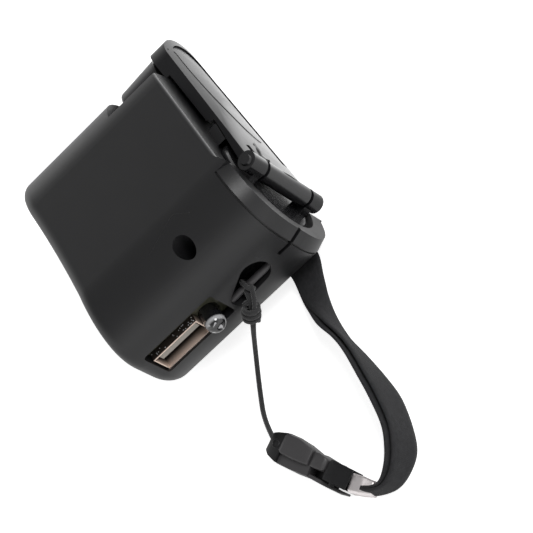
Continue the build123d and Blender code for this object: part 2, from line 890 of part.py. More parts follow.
tongue_z = socket_z + tongue_rise
with BuildPart() as usb_tongue:
    with BuildSketch(facing_port(socket_face - socket_deep + 1.5, socket_y, tongue_z)):
        Rectangle(tongue_wide, tongue_high)
    extrude(amount=socket_deep - 2.5)
    with BuildSketch(facing_port(socket_face - socket_deep + 1.5, socket_y, socket_z)):
        Rectangle(socket_wide - 2 * socket_wall, socket_high - 2 * socket_wall)
    extrude(amount=socket_deep - 2.5 - tongue_deep)
usb_tongue.part.label = "usb_tongue"
export_step(usb_tongue.part, "parts/usb_tongue.step")


def usb_contact(number):
    across = socket_y + contact_pitch * (number - 2.5)
    with BuildPart() as contact:
        with BuildSketch(facing_port(socket_face - 1.0 - tongue_deep, across, tongue_z - tongue_high / 2 - 0.1)):
            Rectangle(contact_wide, 0.2)
        extrude(amount=tongue_deep - 0.8)
    contact.part.label = "usb_contact_" + str(number)
    export_step(contact.part, "parts/usb_contact_" + str(number) + ".step")


for number in range(1, 5):
    usb_contact(number)

with BuildPart() as lamp:
    with BuildSketch(facing_port(lamp_face - 8.4, lamp_y, lamp_z)):
        Circle(lamp_rim)
    extrude(amount=1.0)
    with BuildSketch(facing_port(lamp_face - 7.4, lamp_y, lamp_z)):
        Circle(lamp_radius)
    extrude(amount=7.4)
    fillet(lamp.edges().sort_by(Axis.X)[-1], radius=lamp_radius - 0.25)
lamp.part.label = "lamp"
export_step(lamp.part, "parts/lamp.step")


def lamp_lead(number, away):
    """A bent lead from the foot of the lamp down to the board."""
    with BuildPart() as lead:
        with BuildSketch(facing_port(lamp_face - 10.6, lamp_y + away, lamp_z)):
            Rectangle(0.5, 0.5)
        extrude(amount=2.2)
        with BuildSketch(Plane.XY.offset(board_top)):
            with Locations((lamp_face - 10.35, lamp_y + away)):
                Rectangle(0.5, 0.5)
        extrude(amount=lamp_z + 0.25 - board_top)
    lead.part.label = "lamp_lead_" + str(number)
    export_step(lead.part, "parts/lamp_lead_" + str(number) + ".step")


lamp_lead(1, -1.27)
lamp_lead(2, 1.27)

with BuildPart() as storage_capacitor:
    with BuildSketch(Plane.XY.offset(board_top)):
        with Locations((board_x + 3.6, board_low + 3.6)):
            Circle(3.1)
    extrude(amount=9)
    fillet(storage_capacitor.edges().sort_by(Axis.Z)[-1], radius=0.5)
storage_capacitor.part.label = "storage_capacitor"
export_step(storage_capacitor.part, "parts/storage_capacitor.step")

with BuildPart() as regulator:
    with BuildSketch(Plane.XY.offset(board_top)):
        with Locations((board_x + 3.4, board_high - 3.4)):
            Rectangle(5.0, 4.0)
            with GridLocations(6.0, 1.27, 2, 3):
                Rectangle(1.2, 0.5)
    extrude(amount=0.3)
    with BuildSketch(Plane.XY.offset(board_top + 0.3)):
        with Locations((board_x + 3.4, board_high - 3.4)):
            Rectangle(4.4, 4.0)
    extrude(amount=1.3)
regulator.part.label = "regulator"
export_step(regulator.part, "parts/regulator.step")


def diode(number):
    """A rectifier diode standing off the underside of the board by its two bent leads."""
    along = board_x + 2.6 + 3.6 * (number - 1)
    body_z = board_top - board_thick - 1.6
    with BuildPart() as piece:
        with BuildSketch(Plane(origin=(along, board_middle - 2.2, body_z), z_dir=(0, 1, 0))):
            Circle(1.2)
        extrude(amount=4.4)
        with BuildSketch(Plane(origin=(along, board_middle - 4.6, body_z), z_dir=(0, 1, 0))):
            Circle(0.35)
        extrude(amount=9.2)
        for way in (-1, 1):
            with BuildSketch(Plane.XY.offset(body_z)):
                with Locations((along, board_middle + way * 4.6)):
                    Circle(0.35)
            extrude(amount=1.6)
    piece.part.label = "diode_" + str(number)
    export_step(piece.part, "parts/diode_" + str(number) + ".step")


for number in range(1, 5):
    diode(number)


def supply_wire(number, across, rise):
    """A stiff wire of the case's own, from the generator's outlet to the board."""
    foot = can_base + 4 + across
    with BuildPart() as wire:
        with BuildLine():
            FilletPolyline(
                (rotor_x + can_radius - 0.4, foot, mid_z + 0.3),
                (1.4, foot, mid_z + 0.3),
                (3.2, foot, board_top - board_thick / 2 + rise),
                (board_x, foot, board_top - board_thick / 2 + rise),
                radius=1.0,
            )
        with BuildSketch(Plane(origin=(rotor_x + can_radius - 0.4, foot, mid_z + 0.3), z_dir=(1, 0, 0))):
            Circle(0.35)
        sweep()
    wire.part.label = "supply_wire_" + str(number)
    export_step(wire.part, "parts/supply_wire_" + str(number) + ".step")


supply_wire(1, -0.6, 0)
supply_wire(2, 0.6, 0)

with BuildPart() as anchor_pin:
    with BuildSketch(Plane(origin=(post_x, post_start, post_z), z_dir=(0, 1, 0))):
        Circle(anchor_radius)
    extrude(amount=post_end - post_start)
anchor_pin.part.label = "anchor_pin"
export_step(anchor_pin.part, "parts/anchor_pin.step")

# ---------------------------------------------------------------- lanyard


def turn_radii(name, points):
    """The radius of each turn, from the runs beside it and how far it turns."""
    radii = []
    for before, here, after in zip(points, points[1:], points[2:]):
        one = Vector(*here) - Vector(*before)
        two = Vector(*after) - Vector(*here)
        turn = math.radians(one.get_angle(two))
        radii.append(0.45 * min(one.length, two.length) / math.tan(turn / 2))
    print(name, "turn radii", [round(r, 1) for r in radii])
    return radii


buckle_start = Vector(buckle_from[0], buckle_from[1], buckle_thick / 2)
buckle_x = Vector(buckle_way[0], buckle_way[1], 0)
buckle_across = Vector(-buckle_way[1], buckle_way[0], 0)


crimp_x = Vector(crimp_way[0], crimp_way[1], 0)


def at_buckle(along, across=0.0, up=0.0):
    spot = buckle_start + buckle_x * along + buckle_across * across
    return (spot.X, spot.Y, spot.Z + up)


def lanyard_cord(number, points):
    radii = turn_radii("cord_" + str(number), points)
    with BuildPart() as cord:
        with BuildLine():
            route = FilletPolyline(*points, radius=radii)
        with BuildSketch(Plane(origin=points[0], z_dir=Vector(*points[1]) - Vector(*points[0]))):
            Circle(cord_diameter / 2)
        sweep()
    should_be = route.length * math.pi * cord_diameter**2 / 4
    print("cord", number, "length", round(route.length, 1), "volume share", cord.part.volume / should_be)
    cord.part.label = "cord_" + str(number)
    export_step(cord.part, "parts/cord_" + str(number) + ".step")


lanyard_cord(
    1,
    [
        (27.9, 4.8, 15.8),
        (31.4, 4.4, 15.2),
        (31.9, 0.6, 10.6),
        (33.6, -5.4, 3.2),
        (39.6, -9.6, 0.9),
        (47.6, -12.4, 1.3),
        at_buckle(0.8, -0.2, -0.6),
    ],
)
lanyard_cord(
    2,
    [
        (27.9, 6.4, 15.8),
        (32.4, 6.0, 16.2),
        (33.0, 0.4, 11.0),
        (34.6, -5.3, 3.95),
        (40.4, -9.2, 1.9),
        (48.4, -11.9, 2.4),
        at_buckle(0.8, 0.2, 0.6),
    ],
)

with BuildPart() as knot:
    with BuildSketch(Plane(origin=knot_spot, z_dir=(0.1, -0.68, -0.73))):
        Circle(knot_radius)
    extrude(amount=1.5, both=True)
    fillet(knot.edges(), radius=1.0)
knot.part.label = "knot"
export_step(knot.part, "parts/knot.step")

buckle_plane = Plane(origin=buckle_start, x_dir=buckle_x, z_dir=(0, 0, 1))
with BuildPart() as buckle_socket:
    with BuildSketch(buckle_plane):
        with BuildLine():
            w = buckle_wide / 2
            Polyline(
                (0, -0.6 * w),
                (socket_back, -w),
                (socket_body, -0.86 * w),
                (socket_body, 0.86 * w),
                (socket_back, w),
                (0, 0.6 * w),
                (0, -0.6 * w),
            )
        make_face()
    extrude(amount=buckle_thick / 2, both=True)
    fillet(buckle_socket.edges().filter_by(Axis.Z), radius=0.8)
    chamfer(buckle_socket.faces().sort_by(Axis.Z)[-1].edges(), length=0.5)
    with BuildSketch(buckle_plane):
        with Locations(((socket_back + socket_body) / 2 + 1, 0)):
            Rectangle(socket_body - socket_back + 2, 0.86 * buckle_wide - 2 * buckle_wall)
    extrude(amount=buckle_thick / 2 - buckle_wall, both=True, mode=Mode.SUBTRACT)
    with BuildSketch(buckle_plane):
        with Locations((0.9, 0)):
            Rectangle(2.6, 2.8)
    extrude(amount=0.8, both=True, mode=Mode.SUBTRACT)
    with BuildSketch(buckle_plane):
        with Locations((2.4, 0)):
            Circle(0.8)
    extrude(amount=buckle_thick, mode=Mode.SUBTRACT)
buckle_socket.part.label = "buckle_socket"
export_step(buckle_socket.part, "parts/buckle_socket.step")

prong_reach = buckle_thick / 2 - buckle_wall - plug_slack
prong_across = 0.43 * buckle_wide - buckle_wall - plug_slack - prong_wide / 2
with BuildPart() as buckle_plug:
    with BuildSketch(buckle_plane):
        with Locations((socket_body + plug_slack + plug_body / 2, 0)):
            Rectangle(plug_body, 0.84 * buckle_wide)
        with Locations((socket_body + plug_slack + plug_body - 1.9, 0)):
            Rectangle(1.4, 3.6, mode=Mode.SUBTRACT)
    extrude(amount=buckle_thick / 2 - 0.5, both=True)
    fillet(buckle_plug.edges().filter_by(Axis.Z).group_by(Axis.X)[0], radius=0.5)
    with BuildSketch(buckle_plane):
        with Locations((socket_body + plug_slack - prong_long / 2, 0)):
            with GridLocations(0, 2 * prong_across, 1, 2):
                Rectangle(prong_long, prong_wide)
        with Locations((socket_body + plug_slack - prong_long / 4, 0)):
            Rectangle(prong_long / 2, 1.2)
    extrude(amount=prong_reach, both=True)
buckle_plug.part.label = "buckle_plug"
export_step(buckle_plug.part, "parts/buckle_plug.step")

plug_end = socket_body + plug_slack + plug_body
with BuildPart() as strap_tab:
    with BuildSketch(buckle_plane):
        with Locations((plug_end + tab_long / 2, 0)):
            Rectangle(tab_long, 5.4)
    extrude(amount=1.6, both=True)
strap_tab.part.label = "strap_tab"
export_step(strap_tab.part, "parts/strap_tab.step")

crimp_spot = at_buckle(plug_end + tab_long - 0.5)
crimp_from = (crimp_spot[0], crimp_spot[1], 0.2)
with BuildPart() as crimp:
    with BuildSketch(Plane(origin=crimp_from, x_dir=crimp_x, z_dir=(0, 0, 1))):
        with Locations((crimp_long / 2, 0)):
            Rectangle(crimp_long, crimp_thick)
    extrude(amount=crimp_wide)
    fillet(crimp.edges().filter_by(Plane.XY), radius=0.5)
crimp.part.label = "crimp"
export_step(crimp.part, "parts/crimp.step")

strap_start = Vector(crimp_spot[0], crimp_spot[1], 0) + crimp_x * crimp_long
strap_points = [
    (strap_start.X, strap_start.Y, 0),
    (82.4, 3.4, 0),
    (81.4, 11.2, 0),
    (73.6, 15.4, 0),
    (61.0, 15.2, 0),
    (49.0, 13.6, 0),
    (strap_turn_x, strap_fold_y, 0),
]
with BuildPart() as strap:
    with BuildLine():
        strap_line = FilletPolyline(*strap_points, radius=turn_radii("strap", strap_points))
    first_run = Vector(*strap_points[1]) - Vector(*strap_points[0])
    with BuildSketch(Plane(origin=strap_points[0], x_dir=(0, 0, 1), z_dir=first_run)):
        with Locations((strap_wide / 2, 0)):
            Rectangle(strap_wide, strap_thick)
    sweep()
strap_should_be = strap_line.length * strap_wide * strap_thick
print("strap length", round(strap_line.length, 1), "volume share", strap.part.volume / strap_should_be)
strap.part.label = "strap"
export_step(strap.part, "parts/strap.step")

with BuildPart() as strap_fold:
    with BuildSketch(Plane.XY):
        with Locations(((strap_turn_x + strap_fold_x) / 2 + 0.2, strap_fold_y)):
            Rectangle(strap_turn_x - strap_fold_x + 0.4, strap_wide)
    extrude(amount=strap_thick)
    fillet(strap_fold.edges().filter_by(Axis.Y).group_by(Axis.X)[0], radius=0.9)
strap_fold.part.label = "strap_fold"
export_step(strap_fold.part, "parts/strap_fold.step")
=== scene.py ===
import json
import math

import bmesh
import bpy
from mathutils import Matrix, Vector
from mathutils.bvhtree import BVHTree


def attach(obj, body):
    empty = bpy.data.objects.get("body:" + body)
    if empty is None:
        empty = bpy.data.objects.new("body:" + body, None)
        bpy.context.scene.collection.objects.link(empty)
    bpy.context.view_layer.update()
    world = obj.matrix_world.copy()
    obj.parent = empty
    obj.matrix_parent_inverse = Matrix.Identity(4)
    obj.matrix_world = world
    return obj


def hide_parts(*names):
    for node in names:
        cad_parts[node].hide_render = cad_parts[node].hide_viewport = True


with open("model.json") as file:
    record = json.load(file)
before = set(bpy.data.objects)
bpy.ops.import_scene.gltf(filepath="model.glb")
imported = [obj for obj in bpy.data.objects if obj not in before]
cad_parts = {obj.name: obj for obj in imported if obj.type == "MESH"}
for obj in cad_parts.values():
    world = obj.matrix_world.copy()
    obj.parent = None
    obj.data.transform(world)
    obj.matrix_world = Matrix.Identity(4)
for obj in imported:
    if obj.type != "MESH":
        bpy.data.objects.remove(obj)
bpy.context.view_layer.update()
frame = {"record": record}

MM = 0.001


def v3(x, y, z):
    """A place in millimetres as one in metres."""
    return Vector((x * MM, y * MM, z * MM))


# ------------------------------------------------------------------ camera

PICTURE_RIGHT = Vector((0.413, 0.705, -0.576))
PICTURE_AHEAD = Vector((-0.619, -0.247, -0.746))
AIMED_NEAR = Vector((0.4, 23, 18))
AIM_TO_EYE = Vector((-4.5285, -26.6036, 439.66))
SENSOR_WIDTH = 36
FOCAL_LENGTH = 135.09

ahead = PICTURE_AHEAD.normalized()
down = ahead.cross(PICTURE_RIGHT.normalized()).normalized()
right = down.cross(ahead).normalized()
eye = AIMED_NEAR - (right * AIM_TO_EYE.x + down * AIM_TO_EYE.y + ahead * AIM_TO_EYE.z)
camera_data = bpy.data.cameras.new("camera")
camera = bpy.data.objects.new("camera", camera_data)
bpy.context.scene.collection.objects.link(camera)
facing_picture = Matrix((right, -down, -ahead)).transposed().to_4x4()
camera.matrix_world = Matrix.Translation(eye * MM) @ facing_picture
camera_data.sensor_width = SENSOR_WIDTH
camera_data.lens = FOCAL_LENGTH
camera_data.clip_start = 0.01
camera_data.clip_end = 10
bpy.context.scene.camera = camera

# ------------------------------------------------------------------ node helpers


def socket(node, name, value):
    node.inputs[name].default_value = value


def link(tree, a, out, b, into):
    tree.links.new(a.outputs[out], b.inputs[into])


def maths(tree, operation, first, second, third=None):
    """The output of a Math node whose inputs are numbers or other outputs."""
    node = tree.nodes.new("ShaderNodeMath")
    node.operation = operation
    for spot, value in enumerate((first, second, third)):
        if isinstance(value, float):
            node.inputs[spot].default_value = value
        elif value is not None:
            tree.links.new(value, node.inputs[spot])
    return node.outputs[0]


def ranged(tree, source, low, high, to_low=0.0, to_high=1.0, smooth=False):
    """The output of a Map Range node: from low to high becomes from to_low to to_high."""
    node = tree.nodes.new("ShaderNodeMapRange")
    if smooth:
        node.interpolation_type = "SMOOTHSTEP"
    socket(node, "From Min", low)
    socket(node, "From Max", high)
    socket(node, "To Min", to_low)
    socket(node, "To Max", to_high)
    tree.links.new(source, node.inputs["Value"])
    return node.outputs["Result"]


def object_place(tree):
    """Object coordinates, and the node that splits them by axis."""
    place = tree.nodes.new("ShaderNodeTexCoord")
    axes = tree.nodes.new("ShaderNodeSeparateXYZ")
    link(tree, place, "Object", axes, "Vector")
    return place, axes


def noise_on(tree, source, out, scale, detail=2.0):
    noise = tree.nodes.new("ShaderNodeTexNoise")
    socket(noise, "Scale", scale)
    socket(noise, "Detail", detail)
    link(tree, source, out, noise, "Vector")
    return noise


def shaded(tree, shader, factor, dark, light):
    """A base colour that goes from dark to light as the factor rises."""
    shade = tree.nodes.new("ShaderNodeMix")
    shade.data_type = "RGBA"
    shade.inputs["A"].default_value = (*dark, 1)
    shade.inputs["B"].default_value = (*light, 1)
    tree.links.new(factor, shade.inputs["Factor"])
    tree.links.new(shade.outputs["Result"], shader.inputs["Base Color"])


def bumped(tree, shader, height, distance, strength):
    bump = tree.nodes.new("ShaderNodeBump")
    socket(bump, "Distance", distance)
    socket(bump, "Strength", strength)
    tree.links.new(height, bump.inputs["Height"])
    link(tree, bump, "Normal", shader, "Normal")


def new_material(name):
    material = bpy.data.materials.new(name)
    material.use_nodes = True
    tree = material.node_tree
    shader = tree.nodes["Principled BSDF"]
    return material, tree, shader


# ------------------------------------------------------------------ materials

GRAIN_SIZE = 9000.0
SCUFFS = 0.12


def moulded_group():
    """Fine sparkle and faint scuffs of moulded plastic, shared by the plastics."""
    group = bpy.data.node_groups.new("moulded surface", "ShaderNodeTree")
    for name, value in (
        ("Grain size", GRAIN_SIZE),
        ("Grain", 0.05),
        ("Base roughness", 0.4),
        ("Scuffs", SCUFFS),
    ):
        made = group.interface.new_socket(name, in_out="INPUT", socket_type="NodeSocketFloat")
        made.default_value = value
    group.interface.new_socket("Roughness", in_out="OUTPUT", socket_type="NodeSocketFloat")
    group.interface.new_socket("Normal", in_out="OUTPUT", socket_type="NodeSocketVector")
    start = group.nodes.new("NodeGroupInput")
    end = group.nodes.new("NodeGroupOutput")
    place = group.nodes.new("ShaderNodeTexCoord")
    grain = noise_on(group, place, "Object", 1.0)
    link(group, start, "Grain size", grain, "Scale")
    bump = group.nodes.new("ShaderNodeBump")
    socket(bump, "Distance", 0.00003)
    link(group, start, "Grain", bump, "Strength")
    link(group, grain, "Fac", bump, "Height")
    link(group, bump, "Normal", end, "Normal")
    cloud = noise_on(group, place, "Object", 160.0, 5.0)
    middle = maths(group, "SUBTRACT", cloud.outputs["Fac"], 0.5)
    rough = maths(group, "MULTIPLY_ADD", middle, start.outputs["Scuffs"], start.outputs["Base roughness"])
    group.links.new(rough, end.inputs["Roughness"])
    return group


MOULDED = moulded_group()


def plastic(name, colour, roughness, grain=0.05):
    material, tree, shader = new_material(name)
    surface = tree.nodes.new("ShaderNodeGroup")
    surface.node_tree = MOULDED
    socket(surface, "Grain size", GRAIN_SIZE)
    socket(surface, "Grain", grain)
    socket(surface, "Base roughness", roughness)
    socket(surface, "Scuffs", SCUFFS)
    link(tree, surface, "Roughness", shader, "Roughness")
    link(tree, surface, "Normal", shader, "Normal")
    socket(shader, "Base Color", (*colour, 1))
    return material


CASE = plastic("case plastic", (0.011, 0.011, 0.0118), 0.34, grain=0.1)
GLOSS = plastic("gloss plastic", (0.010, 0.010, 0.011), 0.24, grain=0.04)
GREY = plastic("worn plastic", (0.052, 0.05, 0.052), 0.4, grain=0.15)
BLACK = plastic("buckle end", (0.006, 0.006, 0.0065), 0.3)
GEAR = plastic("gear plastic", (0.72, 0.71, 0.67), 0.4)
CHIP = plastic("chip plastic", (0.02, 0.02, 0.02), 0.5, grain=0.3)
SLEEVE = plastic("capacitor sleeve", (0.02, 0.03, 0.08), 0.3)
JACKET = plastic("wire jacket", (0.4, 0.03, 0.02), 0.35)
BOARD = plastic("circuit board", (0.055, 0.055, 0.036), 0.3)
TONGUE = plastic("socket tongue", (0.36, 0.33, 0.29), 0.25)

ARM_SIDE_TOP = 0.0247
ARM_FACE_FOOT = 0.0256


def arm_material():
    """Moulded plastic with dull sides and a shiny upper face."""
    material = plastic("arm plastic", (0.012, 0.012, 0.013), 0.3, grain=0.12)
    tree = material.node_tree
    axes = object_place(tree)[1]
    lift = ranged(tree, axes.outputs["Y"], ARM_SIDE_TOP, ARM_FACE_FOOT, 0.12, 0.8)
    tree.links.new(lift, tree.nodes["Principled BSDF"].inputs["Specular IOR Level"])
    return material


ARM = arm_material()


def metal(name, colour, roughness):
    material, tree, shader = new_material(name)
    socket(shader, "Base Color", (*colour, 1))
    socket(shader, "Metallic", 1.0)
    place = tree.nodes.new("ShaderNodeTexCoord")
    noise = noise_on(tree, place, "Object", 1500.0, 4.0)
    rough = ranged(tree, noise.outputs["Fac"], 0.0, 1.0, roughness * 0.7, roughness * 1.4)
    tree.links.new(rough, shader.inputs["Roughness"])
    bumped(tree, shader, noise.outputs["Fac"], 0.00002, 0.1)
    return material


STEEL = metal("steel", (0.55, 0.55, 0.56), 0.3)
PLATED = metal("plated steel", (0.72, 0.69, 0.66), 0.22)
FOIL = metal("bright strip", (0.93, 0.88, 0.88), 0.42)
BRASS = metal("brass", (0.75, 0.55, 0.25), 0.3)
COPPER = metal("copper", (0.7, 0.3, 0.16), 0.35)
MAGNET = metal("magnet", (0.12, 0.12, 0.13), 0.45)

# the lamp's axis, the inner and outer radius of its painted highlight ring, and where its dome starts
LAMP_AXIS = (0.0, -0.0045, 0.0169)
LAMP_HIGHLIGHT_RING_INSIDE = 0.00205
LAMP_HIGHLIGHT_RING_OUTSIDE = 0.0023
LAMP_DOME_FOOT = 0.0301
LAMP_DOME_START = 0.0305


def lamp_material():
    """A near black dome with painted highlights: a bright ring near its rim and white reflection patches
    painted into the base colour.
    """
    material, tree, shader = new_material("clear lens")
    socket(shader, "Roughness", 0.06)
    socket(shader, "Coat Weight", 1.0)
    socket(shader, "Coat Roughness", 0.02)
    place, axes = object_place(tree)
    centre = tree.nodes.new("ShaderNodeVectorMath")
    centre.operation = "SUBTRACT"
    centre.inputs[1].default_value = LAMP_AXIS
    link(tree, place, "Object", centre, 0)
    across = tree.nodes.new("ShaderNodeVectorMath")
    across.operation = "MULTIPLY"
    across.inputs[1].default_value = (0, 1, 1)
    link(tree, centre, "Vector", across, 0)
    reach = tree.nodes.new("ShaderNodeVectorMath")
    reach.operation = "LENGTH"
    link(tree, across, "Vector", reach, 0)
    # painted highlight: a bright ring and patches of painted white reflection on the dome, mixed into the
    # base colour
    rim = ranged(tree, reach.outputs["Value"], LAMP_HIGHLIGHT_RING_INSIDE, LAMP_HIGHLIGHT_RING_OUTSIDE)
    reflection_noise = noise_on(tree, place, "Object", 950.0, 0.0)
    cut = ranged(tree, reflection_noise.outputs["Fac"], 0.6, 0.64)
    dome = ranged(tree, axes.outputs["X"], LAMP_DOME_FOOT, LAMP_DOME_START)
    ring = maths(tree, "MULTIPLY", rim, dome)
    painted_reflections = maths(tree, "MULTIPLY", cut, dome)
    bright = maths(tree, "MAXIMUM", ring, painted_reflections)
    shaded(tree, shader, bright, (0.008, 0.008, 0.009), (0.42, 0.42, 0.43))
    return material


LENS = lamp_material()


def cord_material():
    material, tree, shader = new_material("braided cord")
    socket(shader, "Base Color", (0.014, 0.014, 0.015, 1))
    socket(shader, "Roughness", 0.75)
    socket(shader, "Sheen Weight", 0.25)
    place = tree.nodes.new("ShaderNodeTexCoord")
    wave = tree.nodes.new("ShaderNodeTexWave")
    socket(wave, "Scale", 900.0)
    link(tree, place, "Object", wave, "Vector")
    bumped(tree, shader, wave.outputs["Fac"], 0.00015, 0.6)
    return material


CORD = cord_material()
TWILL_LEAN = math.radians(62)


def webbing_material(name, light):
    """Fine twill on a ribbon whose UV is in millimetres: u across it and v along it."""
    material, tree, shader = new_material(name)
    socket(shader, "Roughness", 0.8)
    socket(shader, "Specular IOR Level", 0.3)
    socket(shader, "Sheen Weight", 0.04)
    place = tree.nodes.new("ShaderNodeUVMap")
    place.uv_map = "ribbon"
    lean = tree.nodes.new("ShaderNodeMapping")
    lean.inputs["Rotation"].default_value = (0, 0, TWILL_LEAN)
    link(tree, place, "UV", lean, "Vector")
    twill = tree.nodes.new("ShaderNodeTexWave")
    socket(twill, "Scale", 1.15)
    socket(twill, "Distortion", 0.6)
    socket(twill, "Detail", 1.0)
    link(tree, lean, "Vector", twill, "Vector")
    cloud = noise_on(tree, place, "UV", 0.8)
    mixed = maths(tree, "MULTIPLY", twill.outputs["Fac"], cloud.outputs["Fac"])
    shaded(tree, shader, mixed, (0.008, 0.008, 0.009), (light, light, light * 1.08))
    bumped(tree, shader, twill.outputs["Fac"], 0.0001, 0.5)
    return material


WEBBING = webbing_material("webbing", 0.05)
TAB = webbing_material("tab webbing", 0.010)

SHELL_POINTS = [vertex.co for vertex in bpy.data.objects["usb_shell"].data.vertices]
SHELL_TOP = max(point.z for point in SHELL_POINTS)
SHELL_LOW = min(point.y for point in SHELL_POINTS)
SHELL_HIGH = max(point.y for point in SHELL_POINTS)
# painted shade in the socket: full from the first depth, gone from the second one at the mouth
SHELL_FULL_SHADE_FROM = 0.0262
SHELL_UNSHADED_FROM = 0.0286
SHELL_END_FACE = 0.02862


def shell_material():
    """Plated steel, bright at the mouth, with painted shade: darker further in and dark on its upper outer
    side.
    """
    material, tree, shader = new_material("socket shell")
    socket(shader, "Metallic", 0.45)
    socket(shader, "Roughness", 0.3)
    axes = object_place(tree)[1]
    # painted shade: the base colour darkens deeper into the socket and on the shell's upper outer face
    depth = ranged(tree, axes.outputs["X"], SHELL_FULL_SHADE_FROM, SHELL_UNSHADED_FROM)
    below_top = maths(tree, "LESS_THAN", axes.outputs["Z"], SHELL_TOP - 0.0001)
    end_face = maths(tree, "GREATER_THAN", axes.outputs["X"], SHELL_END_FACE)
    clear_of_top_shade = maths(tree, "MAXIMUM", below_top, end_face)
    bright = maths(tree, "MULTIPLY", depth, clear_of_top_shade)
    shaded(tree, shader, bright, (0.05, 0.04, 0.034), (0.85, 0.68, 0.58))
    return material


SHELL = shell_material()

LOOKS = {
    "case_plastic": CASE,
    "gloss_plastic": GLOSS,
    "gear_plastic": GEAR,
    "steel": STEEL,
    "plated_steel": PLATED,
    "brass": BRASS,
    "copper": COPPER,
    "magnet": MAGNET,
    "circuit_board": BOARD,
    "clear_lens": LENS,
    "can_sleeve": SLEEVE,
    "chip_plastic": CHIP,
    "wire_jacket": JACKET,
    "cord": CORD,
    "webbing": WEBBING,
}
BY_NODE = {
    "crank_arm": ARM,
    "arm_panel": ARM,
    "usb_shell": SHELL,
    "usb_tongue": TONGUE,
    "anchor_pin": GREY,
    "hinge_pin": GLOSS,
}
for part in frame["record"]["subparts"]:
    held = bpy.data.objects.get(part["node"])
    if held is None:
        continue
    for place_of in held.material_slots:
        place_of.material = BY_NODE.get(part["node"], LOOKS[part["material_slot"]])

# ------------------------------------------------------------------ pieces


def mesh_piece(name, points, faces, material, body=None, smooth=True, uv=None):
    """A plain mesh object from points in millimetres."""
    mesh = bpy.data.meshes.new(name)
    mesh.from_pydata([v3(*p) for p in points], [], faces)
    mesh.validate()
    if uv is not None:
        layer = mesh.uv_layers.new(name="ribbon")
        for loop in mesh.loops:
            layer.data[loop.index].uv = uv[loop.vertex_index]
    mesh.materials.append(material)
    work = bmesh.new()
    work.from_mesh(mesh)
    bmesh.ops.recalc_face_normals(work, faces=work.faces)
    work.to_mesh(mesh)
    work.free()
    for face in mesh.polygons:
        face.use_smooth = smooth
    made = bpy.data.objects.new(name, mesh)
    bpy.context.scene.collection.objects.link(made)
    if body:
        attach(made, body)
    return made


def spline(points, steps):
    """A smooth line of points through the given ones."""
    points = [Vector(p) for p in points]
    ends = [points[0] * 2 - points[1]] + points + [points[-1] * 2 - points[-2]]
    line = []
    for i in range(len(points) - 1):
        a, b, c, d = ends[i : i + 4]
        for k in range(steps):
            t = k / steps
            square = (2 * a - 5 * b + 4 * c - d) * t**2
            cube = (3 * b - a - 3 * c + d) * t**3
            line.append(0.5 * (2 * b + (c - a) * t + square + cube))
    return line + [points[-1]]


def tube(points, radius, sides=12):
    """The points and faces of a closed tube along a line."""
    made, faces, side = [], [], Vector((0.31, 0.17, 0.94))
    count = len(points)
    for i, p in enumerate(points):
        along = (points[min(i + 1, count - 1)] - points[max(i - 1, 0)]).normalized()
        side = (side - along * side.dot(along)).normalized()
        other = along.cross(side)
        for k in range(sides):
            turn = 2 * math.pi * k / sides
            made.append(p + (side * math.cos(turn) + other * math.sin(turn)) * radius)
    for i in range(count - 1):
        for k in range(sides):
            a, b = i * sides + k, i * sides + (k + 1) % sides
            faces.append((a, b, b + sides, a + sides))
    faces.append(tuple(range(sides - 1, -1, -1)))
    faces.append(tuple(range((count - 1) * sides, count * sides)))
    return made, faces


BUCKLE_FROM = Vector((54.1, -12.1, 2.7))
BUCKLE_X = Vector((0.892, 0.452, 0)).normalized()
BUCKLE_ACROSS = Vector((-BUCKLE_X.y, BUCKLE_X.x, 0))


def at_buckle(along, across, up):
    spot = BUCKLE_FROM + BUCKLE_X * along + BUCKLE_ACROSS * across
    return (spot.x, spot.y, spot.z + up)


# cords: the same route points as the frame's
CORD_ROUTES = {
    "strand_1": [
        (27.9, 4.8, 15.8),
        (31.4, 4.4, 15.2),
        (31.9, 0.6, 10.6),
        (33.6, -5.4, 3.2),
        (39.6, -9.6, 0.9),
        (47.6, -12.4, 1.3),
        at_buckle(0.8, -0.2, -0.6),
    ],
    "strand_2": [
        (27.9, 6.4, 15.8),
        (32.4, 6.0, 16.2),
        (33.0, 0.4, 11.0),
        (34.6, -5.3, 3.95),
        (40.4, -9.2, 1.9),
        (48.4, -11.9, 2.4),
        at_buckle(0.8, 0.2, 0.6),
    ],
}


def cord_curve(name, route, diameter):
    curve = bpy.data.curves.new(name, "CURVE")
    curve.dimensions = "3D"
    line = curve.splines.new("NURBS")
    line.points.add(len(route) - 1)
    for point, spot in zip(line.points, route):
        point.co = (*v3(*spot), 1)
    line.order_u = 3
    line.use_endpoint_u = True
    line.resolution_u = 24
    curve.bevel_depth = diameter / 2 * MM
    curve.bevel_resolution = 6
    curve.use_fill_caps = True
    curve.materials.append(CORD)
    made = bpy.data.objects.new(name, curve)
    bpy.context.scene.collection.objects.link(made)
    return made


for number, (name, route) in enumerate(CORD_ROUTES.items(), 1):
    made = cord_curve(name, route, 1.1)
    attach(made, "case")
    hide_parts("cord_" + str(number))

